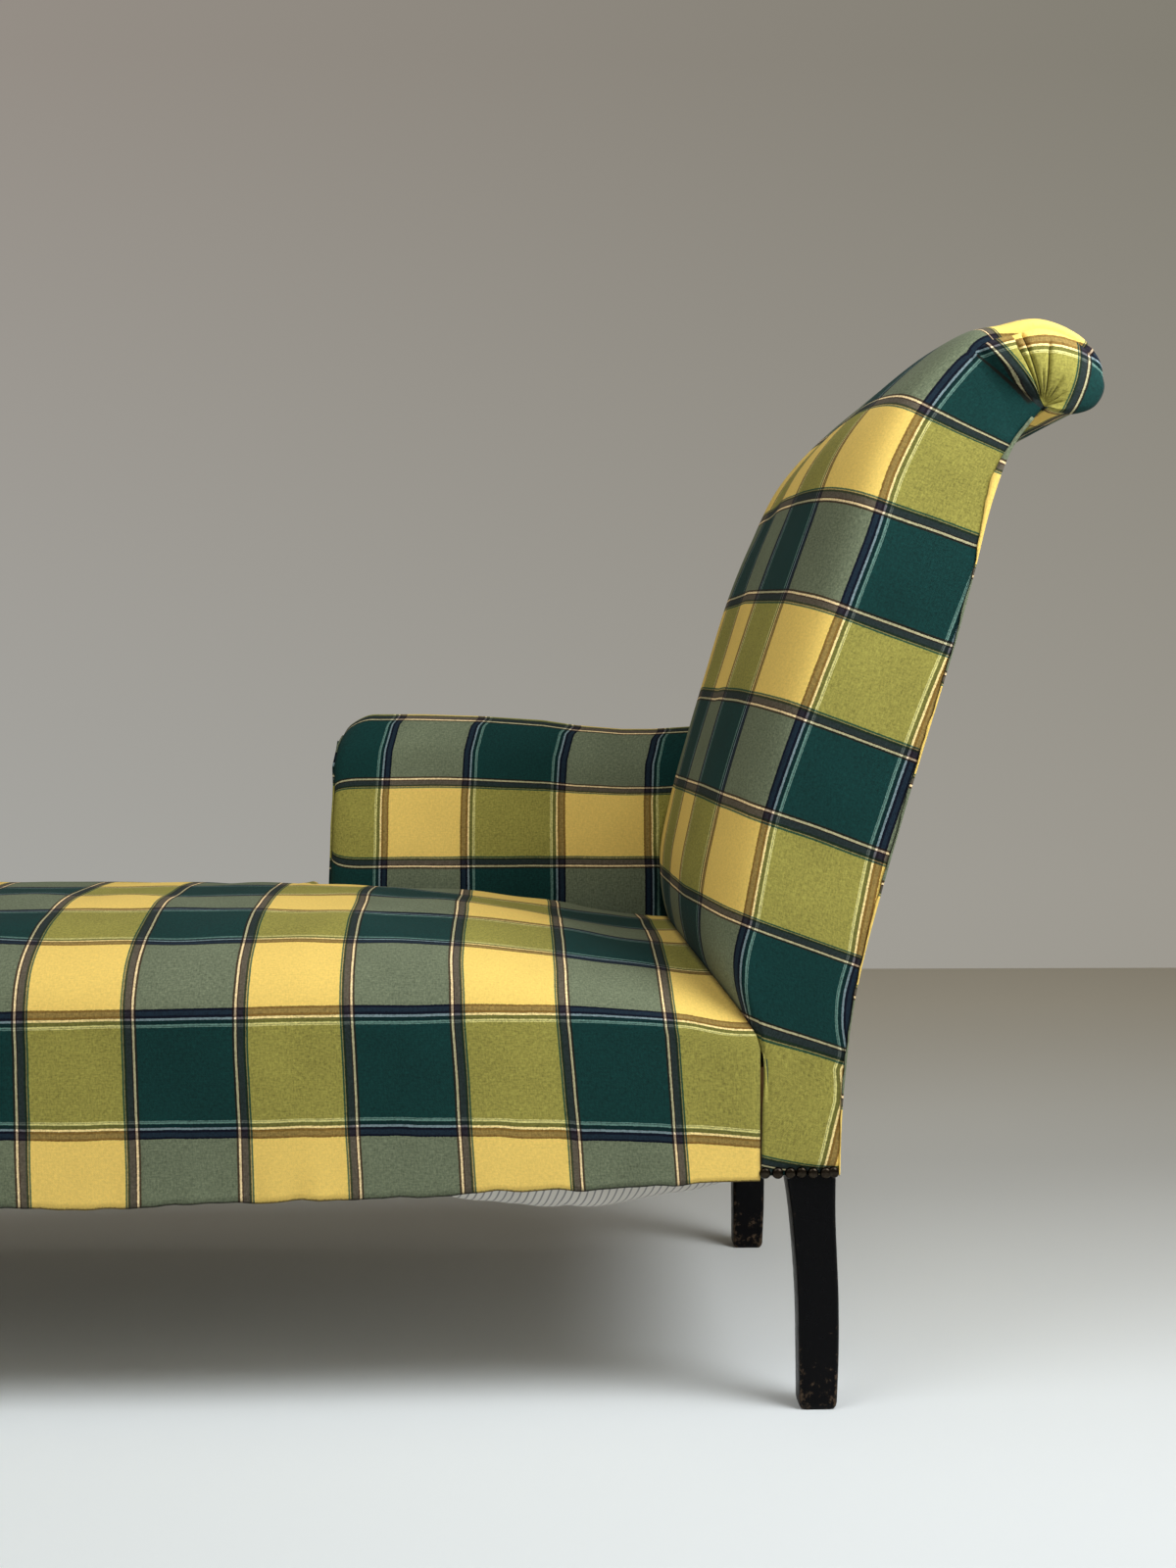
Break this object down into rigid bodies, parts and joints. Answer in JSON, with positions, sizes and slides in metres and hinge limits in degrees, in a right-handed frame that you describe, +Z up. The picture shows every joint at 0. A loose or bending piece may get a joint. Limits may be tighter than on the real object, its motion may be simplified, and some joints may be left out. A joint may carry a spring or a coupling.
{
  "type": "fainting couch",
  "caption": "Antique daybed with a long sprung seat, a raked back that rolls over in a scroll, a short half arm and slim sabre legs, covered in a large woven plaid.",
  "frame": {"origin": "on the floor under the middle of the couch's box", "axes": "+X along the seat towards the scrolled back, +Y across the couch towards the arm, +Z up"},
  "size_m": [1.65, 0.69, 0.925],
  "materials": {
    "ebonised_wood": "ebonised hardwood, satin, worn brown at the feet",
    "frame_wood": "unfinished beech",
    "plaid_cloth": "woven plaid furnishing cloth",
    "plain_outside_cloth": "woven plaid furnishing cloth, laid flat",
    "stuffing": "hair and cotton wadding",
    "webbing": "jute webbing",
    "canvas": "hessian canvas",
    "twine": "laid hemp twine",
    "spring_steel": "coppered spring wire, dulled",
    "ticking": "white cotton ticking with thin grey stripes",
    "antique_nail": "dark antique bronze"
  },
  "bodies": {
    "root": {"near_back_post": "ebonised_wood", "far_back_post": "ebonised_wood", "near_foot_leg": "ebonised_wood", "far_foot_leg": "ebonised_wood", "near_side_rail": "frame_wood", "far_side_rail": "frame_wood", "foot_rail": "frame_wood", "head_rail": "frame_wood", "corner_blocks": "frame_wood", "crest_rail": "frame_wood", "back_stay_rail": "frame_wood", "arm_stump": "frame_wood", "arm_top_rail": "frame_wood", "arm_tacking_rail": "frame_wood", "arm_dowels": "frame_wood", "webbing_across": "webbing", "webbing_along": "webbing", "seat_springs": "spring_steel", "lashing_twine": "twine", "spring_canvas": "canvas", "seat_pad": "stuffing", "seat_cover": "plaid_cloth", "dust_cover": "ticking", "back_webbing": "webbing", "back_canvas": "canvas", "back_pad": "stuffing", "back_cover": "plaid_cloth", "outside_back_panel": "plain_outside_cloth", "arm_pad": "stuffing", "arm_cover": "plaid_cloth", "arm_front_facing": "plaid_cloth", "outside_arm_panel": "plain_outside_cloth", "near_back_nails": "antique_nail", "far_back_nails": "antique_nail"}
  },
  "joints": []
}
